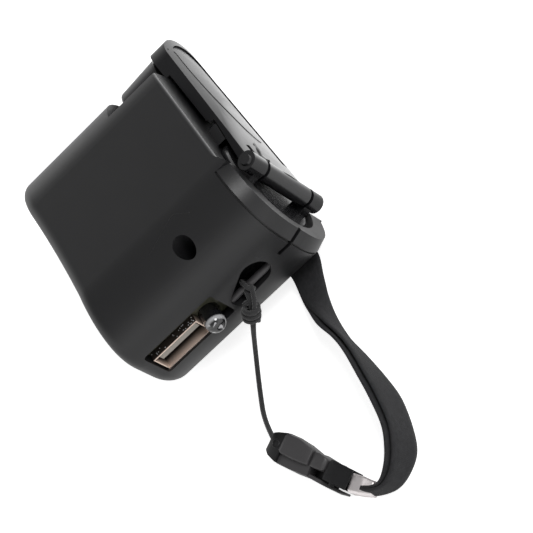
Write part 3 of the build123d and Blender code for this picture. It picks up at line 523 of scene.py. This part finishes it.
# the hitch: turns of cord round both strands, below the pin
axis_from, axis_to = Vector((31.75, 3.6, 14.6)), Vector((32.1, 0.9, 11.3))
way = (axis_to - axis_from).normalized()
side = way.orthogonal().normalized()
other = way.cross(side)
turns = []
for k in range(97):
    share = k / 96
    turn = 2 * math.pi * 3.5 * share
    reach = 1.35 + 0.25 * math.sin(math.pi * share)
    turns.append(axis_from.lerp(axis_to, share) + (side * math.cos(turn) + other * math.sin(turn)) * reach)
knot_points, knot_faces = tube(turns, 0.62)
knot = mesh_piece("hitch", knot_points, knot_faces, CORD, "case")
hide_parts("knot")
PIN_SPOT = Vector((27.9, 5.6, 15.8))
LOOP_REACH = 1.4
LOOP_WIDE = 1.1
loop_line = []
for k in range(49):
    share = k / 48
    turn = math.radians(200 - 260 * share)
    round_pin = Vector((math.cos(turn) * LOOP_REACH, LOOP_WIDE * (share - 0.5), math.sin(turn) * LOOP_REACH))
    loop_line.append(PIN_SPOT + round_pin)
loop_points, loop_faces = tube(loop_line, 0.55)
loop = mesh_piece("loop_on_pin", loop_points, loop_faces, CORD, "case")


# the wrist strap: two layers of one webbing loop
EDGES = [
    ((19.5, 10.0, 1.0), (19.5, 18.4, 0.6)),
    ((24.0, 10.3, 1.2), (23.6, 18.3, 0.6)),
    ((31.8, 9.8, 2.2), (29.3, 16.4, 0.5)),
    ((41.0, 11.9, 6.6), (37.2, 13.7, 0.4)),
    ((47.6, 13.8, 8.0), (45.0, 13.3, 0.4)),
    ((52.7, 14.4, 8.6), (52.0, 14.4, 0.3)),
    ((59.1, 14.2, 8.8), (59.5, 15.4, 0.3)),
    ((65.7, 13.8, 8.8), (66.0, 15.7, 0.3)),
    ((72.8, 12.8, 8.6), (73.2, 14.3, 0.3)),
    ((77.6, 10.6, 8.4), (77.9, 12.3, 0.3)),
    ((80.5, 8.0, 7.8), (80.3, 8.6, 0.3)),
    ((81.2, 4.8, 6.2), (80.9, 5.2, 0.3)),
    ((79.5, 2.0, 4.3), (79.4, 1.3, 0.5)),
    ((77.2, -0.4, 3.5), (77.3, -0.7, 0.6)),
]


def ribbon(tops, feet, thick, steps=10, across=8):
    """A band of webbing between two edge lines, with its thickness and selvedges."""
    tops, feet = spline(tops, steps), spline(feet, steps)
    points, uv = [], []
    count = len(tops)
    for face_side in (-0.5, 0.5):
        run = 0.0
        for i in range(count):
            middle = (tops[i] + feet[i]) / 2
            before, after = max(i - 1, 0), min(i + 1, count - 1)
            along = (tops[after] + feet[after] - tops[before] - feet[before]).normalized()
            normal = along.cross(tops[i] - feet[i]).normalized()
            if i:
                run += (middle - (tops[i - 1] + feet[i - 1]) / 2).length
            for k in range(across + 1):
                share = k / across
                from_edge = min(share, 1 - share)
                edge = 0.55 + 0.45 * math.sin(math.pi * min(1, from_edge * 6) / 2)
                points.append(tops[i].lerp(feet[i], share) + normal * thick * face_side * edge)
                uv.append((share * 9, run))
    row = across + 1
    faces = []
    for i in range(count - 1):
        for k in range(across):
            a = i * row + k
            b = a + count * row
            faces.append((a, a + 1, a + row + 1, a + row))
            faces.append((b, b + row, b + row + 1, b + 1))
        for k in (0, across):
            a = i * row + k
            faces.append((a, a + row, a + row + count * row, a + count * row))
    for i in (0, count - 1):
        for k in range(across):
            a = i * row + k
            faces.append((a, a + 1, a + 1 + count * row, a + count * row))
    return points, faces, uv


def shifted(pairs, out, top, foot):
    """The two edge lines moved outwards, with the top lowered and the foot raised."""
    tops, feet = [], []
    for i, (a, b) in enumerate(pairs):
        a, b = Vector(a), Vector(b)
        before, after = pairs[max(i - 1, 0)], pairs[min(i + 1, len(pairs) - 1)]
        along = Vector(after[0]) + Vector(after[1]) - Vector(before[0]) - Vector(before[1])
        normal = along.cross(a - b).normalized()
        fade = min(1, i / 3, (len(pairs) - 1 - i) / 3)
        move = normal * -out * (0.35 + 0.65 * fade)
        tops.append(a.lerp(b, top * fade) + move)
        feet.append(b.lerp(a, foot * fade) + move)
    return tops, feet


inner_points, inner_faces, inner_uv = ribbon(*shifted(EDGES, -0.5, 0.0, 0.16), 0.75)
outer_points, outer_faces, outer_uv = ribbon(*shifted(EDGES, 0.6, 0.1, 0.0), 0.75)
shift = len(inner_points)
strap = mesh_piece(
    "wrist_strap",
    inner_points + outer_points,
    inner_faces + [tuple(i + shift for i in face) for face in outer_faces],
    WEBBING,
    uv=inner_uv + outer_uv,
)
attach(strap, "plug")
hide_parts("strap", "strap_fold")

# buckle, tab and crimp


def loft(name, rings, material, body, place, bevel=0.25, segments=2):
    """A closed body through cross-sections, each (along, [(across, up), ...]), with rounded edges."""
    points, faces = [], []
    width = len(rings[0][1])
    for along, ring in rings:
        for across, up in ring:
            points.append(place(along, across, up))
    for i in range(len(rings) - 1):
        for k in range(width):
            a, b = i * width + k, i * width + (k + 1) % width
            faces.append((a, b, b + width, a + width))
    faces.append(tuple(range(width - 1, -1, -1)))
    faces.append(tuple(range((len(rings) - 1) * width, len(rings) * width)))
    made = mesh_piece(name, points, faces, material, body, smooth=False)
    work = bmesh.new()
    work.from_mesh(made.data)
    sharp = [e for e in work.edges if len(e.link_faces) == 2 and e.calc_face_angle(0) > 0.3]
    bmesh.ops.bevel(
        work,
        geom=sharp,
        offset=bevel * MM,
        segments=segments,
        profile=0.6,
        affect="EDGES",
        clamp_overlap=True,
    )
    work.to_mesh(made.data)
    work.free()
    for face in made.data.polygons:
        face.use_smooth = True
    made.data.set_sharp_from_angle(angle=math.radians(40))
    return made


def block(low, high, foot, top, lean=0.0):
    """A four-cornered cross-section between two across values, with its top leaned inwards."""
    return [(low, foot), (high, foot), (high - lean, top), (low + lean, top)]


def in_buckle(along, across, up):
    """A place in the buckle's own axes, with up from the floor."""
    return at_buckle(along, across, up - BUCKLE_FROM.z)


def joined(name, parts, nodes, body):
    """Several closed bodies kept as one object."""
    work = bmesh.new()
    materials = []
    for part in parts:
        for held in part.data.materials:
            if held not in materials:
                materials.append(held)
    mesh = bpy.data.meshes.new(name)
    for part in parts:
        spot = materials.index(part.data.materials[0])
        for face in part.data.polygons:
            face.material_index = spot
        work.from_mesh(part.data)
    work.to_mesh(mesh)
    work.free()
    for held in materials:
        mesh.materials.append(held)
    for part in parts:
        bpy.data.objects.remove(part)
    made = bpy.data.objects.new(name, mesh)
    bpy.context.scene.collection.objects.link(made)
    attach(made, body)
    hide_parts(*nodes)
    return made


socket_parts = [
    loft(
        "end_block",
        [
            (0.0, block(-2.2, 2.3, 0.5, 4.6, 0.2)),
            (1.2, block(-3.0, 2.8, 0.1, 4.8, 0.2)),
            (3.6, block(-3.6, 3.5, 0.0, 4.9, 0.2)),
            (4.0, block(-3.6, 3.6, 0.0, 4.9, 0.2)),
        ],
        BLACK,
        None,
        in_buckle,
    ),
    loft(
        "flange",
        [
            (3.8, block(-3.6, 3.6, 0.0, 4.3, 0.1)),
            (8.0, block(-3.5, 3.3, 0.0, 4.2, 0.1)),
            (12.4, block(-3.1, 2.5, 0.0, 3.9, 0.1)),
        ],
        GREY,
        None,
        in_buckle,
    ),
    loft(
        "upper_shell",
        [
            (3.5, block(-0.9, 2.9, 3.6, 5.0, 0.2)),
            (4.3, block(-1.5, 3.5, 3.6, 5.4, 0.35)),
            (7.8, block(-1.5, 3.6, 3.6, 5.4, 0.35)),
            (10.4, block(-1.3, 3.1, 3.6, 5.3, 0.35)),
            (11.9, block(-1.1, 2.7, 3.6, 4.9, 0.3)),
        ],
        GREY,
        None,
        in_buckle,
        0.3,
        3,
    ),
]
hole_rim = []
for k in range(33):
    turn = 2 * math.pi * k / 32
    hole_rim.append(Vector(in_buckle(2.1 + 0.85 * math.cos(turn), 0.2 + 0.85 * math.sin(turn), 4.86)))
rim_points, rim_faces = tube(hole_rim, 0.16, 8)
socket_parts.append(mesh_piece("rim", rim_points, rim_faces, BLACK))
joined("buckle_shell", socket_parts, ["buckle_socket"], "case")

plug_parts = [
    loft(
        "shoulder",
        [
            (12.6, block(-1.0, 2.6, 0.4, 4.7, 0.25)),
            (13.6, block(-1.0, 2.8, 0.4, 4.9, 0.25)),
            (15.6, block(-0.8, 2.5, 0.4, 4.9, 0.25)),
            (16.3, block(-0.5, 2.1, 0.4, 4.3, 0.25)),
        ],
        GREY,
        None,
        in_buckle,
        0.3,
        3,
    ),
    loft(
        "side_arm",
        [
            (12.6, block(-3.2, -2.2, 0.0, 3.6, 0.1)),
            (16.0, block(-3.3, -2.3, 0.0, 3.0, 0.1)),
            (20.0, block(-3.2, -2.4, 0.0, 1.9, 0.1)),
            (22.2, block(-2.8, -2.3, 0.0, 1.2, 0.1)),
        ],
        GREY,
        None,
        in_buckle,
    ),
    loft(
        "base",
        [
            (12.6, block(-3.2, 2.8, 0.0, 1.6, 0.1)),
            (18.8, block(-2.8, 2.4, 0.0, 1.2, 0.1)),
        ],
        BLACK,
        None,
        in_buckle,
    ),
    loft(
        "cross_bar",
        [
            (17.6, block(-2.9, 2.6, 0.8, 2.6, 0.2)),
            (19.0, block(-2.9, 2.6, 0.8, 2.6, 0.2)),
        ],
        GLOSS,
        None,
        in_buckle,
    ),
]
joined("buckle_prong", plug_parts, ["buckle_plug"], "plug")


TAB_LINE = [(23.0, 0.5), (20.0, 0.6), (17.0, 0.9), (16.2, 2.3), (17.0, 4.0), (19.2, 4.8), (23.0, 4.0)]
tab_tops = [in_buckle(along, 2.5, up) for along, up in TAB_LINE]
tab_feet = [in_buckle(along, -2.0, up) for along, up in TAB_LINE]
tab_points, tab_faces, tab_uv = ribbon(tab_tops, tab_feet, 0.7, 6, 6)
tab = mesh_piece("webbing_tab", tab_points, tab_faces, TAB, "plug", uv=tab_uv)
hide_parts("strap_tab")

CRIMP_START = 23.1
CRIMP_LONG = 5.3
CRIMP_FROM = Vector((*at_buckle(CRIMP_START, 0, 0)[:2], 0.2))
CRIMP_X = Vector((0.79, 0.613, 0)).normalized()
CRIMP_ACROSS = Vector((-CRIMP_X.y, CRIMP_X.x, 0))


def in_crimp(along, across, up):
    return CRIMP_FROM + CRIMP_X * along + CRIMP_ACROSS * across + Vector((0, 0, up))


def crimp_ring(half, top, roll):
    return [
        (-half, 0.3),
        (-half + 0.3, 0.0),
        (half - 0.3, 0.0),
        (half, 0.3),
        (half, top - roll),
        (half - roll, top),
        (-half + roll, top),
        (-half, top - roll),
    ]


crimp_rings = []
for k in range(13):
    along = CRIMP_LONG * k / 12
    flare = 0.12 * (abs(k - 6) / 6) ** 3
    narrow = 0.5 * max(0.0, (k - 6) / 6)
    crimp_rings.append((along, crimp_ring(1.95 + flare - narrow, 3.3 + flare - 1.6 * narrow, 0.45)))
crimp = loft("folded_crimp", crimp_rings, FOIL, "plug", in_crimp, 0.08, 1)
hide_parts("crimp")

# painted shade: black lines laid on the arm's top surface for the shade in its moulded groove line and in
# its slot


ABOVE_ALL = 60


def surface_of(node):
    return BVHTree.FromObject(bpy.data.objects[node], bpy.context.evaluated_depsgraph_get())


ARM_SURFACES = [surface_of("crank_arm"), surface_of("arm_panel")]


def on_arm(x, z, sink):
    """The highest place on the arm at x and z, lowered by sink."""
    heights = []
    for surface in ARM_SURFACES:
        hit = surface.ray_cast(v3(x, ABOVE_ALL, z), Vector((0, -1, 0)))[0]
        if hit is not None:
            heights.append(hit.y / MM)
    return Vector((x, max(heights) - sink, z))


def arm_shade_line(name, stations, radius, sink, material):
    laid = [on_arm(x, z, sink) for x, z in stations]
    points, faces = tube(spline(laid, 6), radius, 8)
    made = mesh_piece(name, points, faces, material, "arm")
    return made


ARM_SHADE_LINE_TIP = [(-29.8, 26.4), (-30.2, 24), (-26.2, 23.9), (-21.3, 23.9), (-12.6, 23.3)]
ARM_SHADE_LINE_END = [(-5.3, 22), (-0.3, 20.8), (2.6, 19.1), (2.9, 18)]
ARM_SLOT_SHADE = [(6.2, 22.5), (9.4, 24), (12.2, 24.7), (15.5, 25.9)]
# black tubes as painted shade along the panel's groove and in the slot
arm_shade_line("arm_shade_line", ARM_SHADE_LINE_TIP + ARM_SHADE_LINE_END, 0.17, 0.03, BLACK)
arm_shade_line("arm_slot_shade", ARM_SLOT_SHADE, 0.5, 0.1, BLACK)

# the hinge pin's bright end, and a scratch on the front

PIN_FROM = Vector((16.0, 25.4, 31.4))
PIN_TO = Vector((16.0, 25.4, 31.72))
end_points, end_faces = tube([PIN_FROM, PIN_TO], 0.55, 20)
pin_end = mesh_piece("pin_end", end_points, end_faces, STEEL, "hub", smooth=False)

SCRATCH = [(19, 9.9), (17.4, 7.8), (16.6, 6.4), (17.5, 3.3), (18.6, 0.2), (19.5, -2.6)]
SCRATCH_SINK = Vector((0, 0, 0.02))
front = surface_of("front_shell")
scratched = [front.ray_cast(v3(x, y, ABOVE_ALL), Vector((0, 0, -1)))[0] for x, y in SCRATCH]
scratch_line = spline([spot / MM - SCRATCH_SINK for spot in scratched], 4)
scratch_points, scratch_faces = tube(scratch_line, 0.07, 6)
scratch = mesh_piece("scratch", scratch_points, scratch_faces, BLACK, "case")

# solder dots on the dark strip beside the socket's mouth


def scatter_group(material):
    """Small domes scattered over the faces of the mesh they are given."""
    group = bpy.data.node_groups.new("scattered dots", "GeometryNodeTree")
    group.interface.new_socket("Geometry", in_out="INPUT", socket_type="NodeSocketGeometry")
    for name, kind, value in (
        ("Density", "NodeSocketFloat", 1000000.0),
        ("Seed", "NodeSocketInt", 4),
        ("Radius", "NodeSocketFloat", 0.0001),
    ):
        made = group.interface.new_socket(name, in_out="INPUT", socket_type=kind)
        made.default_value = value
    group.interface.new_socket("Geometry", in_out="OUTPUT", socket_type="NodeSocketGeometry")
    start = group.nodes.new("NodeGroupInput")
    end = group.nodes.new("NodeGroupOutput")
    spread = group.nodes.new("GeometryNodeDistributePointsOnFaces")
    link(group, start, "Geometry", spread, "Mesh")
    link(group, start, "Density", spread, "Density")
    link(group, start, "Seed", spread, "Seed")
    dot = group.nodes.new("GeometryNodeMeshIcoSphere")
    socket(dot, "Subdivisions", 3)
    link(group, start, "Radius", dot, "Radius")
    place = group.nodes.new("GeometryNodeInstanceOnPoints")
    link(group, spread, "Points", place, "Points")
    link(group, dot, "Mesh", place, "Instance")
    solid = group.nodes.new("GeometryNodeRealizeInstances")
    link(group, place, "Instances", solid, "Geometry")
    paint = group.nodes.new("GeometryNodeSetMaterial")
    paint.inputs["Material"].default_value = material
    link(group, solid, "Geometry", paint, "Geometry")
    link(group, paint, "Geometry", end, "Geometry")
    return group


def scattered(name, patch, group, values, body):
    """The dots on a patch, evaluated to a plain mesh."""
    modifier = patch.modifiers.new("dots", "NODES")
    modifier.node_group = group
    for item in group.interface.items_tree:
        if item.in_out == "INPUT" and item.name in values:
            modifier[item.identifier] = values[item.name]
    seen_by = bpy.context.evaluated_depsgraph_get()
    mesh = bpy.data.meshes.new_from_object(patch.evaluated_get(seen_by))
    bpy.data.objects.remove(patch)
    for face in mesh.polygons:
        face.use_smooth = True
    made = bpy.data.objects.new(name, mesh)
    bpy.context.scene.collection.objects.link(made)
    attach(made, body)
    return made


STRIP_BACK = 26.9
STRIP_FRONT = 28.3
STRIP_UP = SHELL_TOP / MM + 0.03
strip_patch = mesh_piece(
    "strip",
    [
        (STRIP_BACK, SHELL_LOW / MM, STRIP_UP),
        (STRIP_FRONT, SHELL_LOW / MM, STRIP_UP),
        (STRIP_FRONT, SHELL_HIGH / MM, STRIP_UP),
        (STRIP_BACK, SHELL_HIGH / MM, STRIP_UP),
    ],
    [(0, 1, 2, 3)],
    BOARD,
)
scattered(
    "solder_dots",
    strip_patch,
    scatter_group(STEEL),
    {"Density": 1300000.0, "Seed": 4, "Radius": 0.00014},
    "case",
)

# ------------------------------------------------------------------ studio

FLOOR_HALF = 3
FLOOR_DROP = 0.0002
SEEN_GLOW = 0.62
FLOOR_GLOW = 0.12
CARD_GLOW = 1.3
CARD_Y_FROM = 0.014
CARD_Y_FULL = 0.026
CARD_X_FROM = 0.016
CARD_X_FULL = -0.004


def floor_material():
    """A white floor that stays white in the picture, with a bright card behind the arm for its gloss."""
    material, tree, shader = new_material("floor")
    socket(shader, "Base Color", (0.9, 0.9, 0.9, 1))
    socket(shader, "Roughness", 0.9)
    socket(shader, "Specular IOR Level", 0.0)
    socket(shader, "Emission Color", (1, 1, 1, 1))
    ray = tree.nodes.new("ShaderNodeLightPath")
    glow = maths(tree, "MULTIPLY_ADD", ray.outputs["Is Camera Ray"], SEEN_GLOW, FLOOR_GLOW)
    axes = object_place(tree)[1]
    along_y = ranged(tree, axes.outputs["Y"], CARD_Y_FROM, CARD_Y_FULL, smooth=True)
    along_x = ranged(tree, axes.outputs["X"], CARD_X_FROM, CARD_X_FULL, smooth=True)
    card = maths(tree, "MULTIPLY", along_y, along_x)
    lit = maths(tree, "MULTIPLY", ray.outputs["Is Glossy Ray"], card)
    strength = maths(tree, "MULTIPLY_ADD", lit, CARD_GLOW, glow)
    tree.links.new(strength, shader.inputs["Emission Strength"])
    return material


floor_mesh = bpy.data.meshes.new("floor")
floor_corners = [(-1, -1), (1, -1), (1, 1), (-1, 1)]
floor_mesh.from_pydata([(x * FLOOR_HALF, y * FLOOR_HALF, 0) for x, y in floor_corners], [], [(0, 1, 2, 3)])
floor = bpy.data.objects.new("floor", floor_mesh)
bpy.context.scene.collection.objects.link(floor)
floor.location.z = -FLOOR_DROP
floor_mesh.materials.append(floor_material())

SKY_AT_EDGE = 1.15
SKY_OVERHEAD = 0.3

world = bpy.data.worlds.new("studio")
bpy.context.scene.world = world
world.use_nodes = True
sky_tree = world.node_tree
sky = sky_tree.nodes["Background"]
socket(sky, "Color", (1, 1, 1, 1))
facing = sky_tree.nodes.new("ShaderNodeTexCoord")
heights = sky_tree.nodes.new("ShaderNodeSeparateXYZ")
sky_tree.links.new(facing.outputs["Generated"], heights.inputs[0])
fall = ranged(sky_tree, heights.outputs["Z"], 0.05, 0.8, SKY_AT_EDGE, SKY_OVERHEAD, smooth=True)
sky_tree.links.new(fall, sky.inputs["Strength"])


def lamp_panel(name, spot, aim, width, height, watts):
    data = bpy.data.lights.new(name, "AREA")
    data.shape = "RECTANGLE"
    data.size = width
    data.size_y = height
    data.energy = watts
    made = bpy.data.objects.new(name, data)
    bpy.context.scene.collection.objects.link(made)
    made.location = spot
    made.rotation_euler = (Vector(aim) - Vector(spot)).to_track_quat("-Z", "Y").to_euler()
    return made


lamp_panel("key", (0.25, 0.55, 0.7), (0.01, 0.0, 0.02), 0.35, 0.35, 4)

view_settings = bpy.context.scene.view_settings
view_settings.view_transform = "Standard"
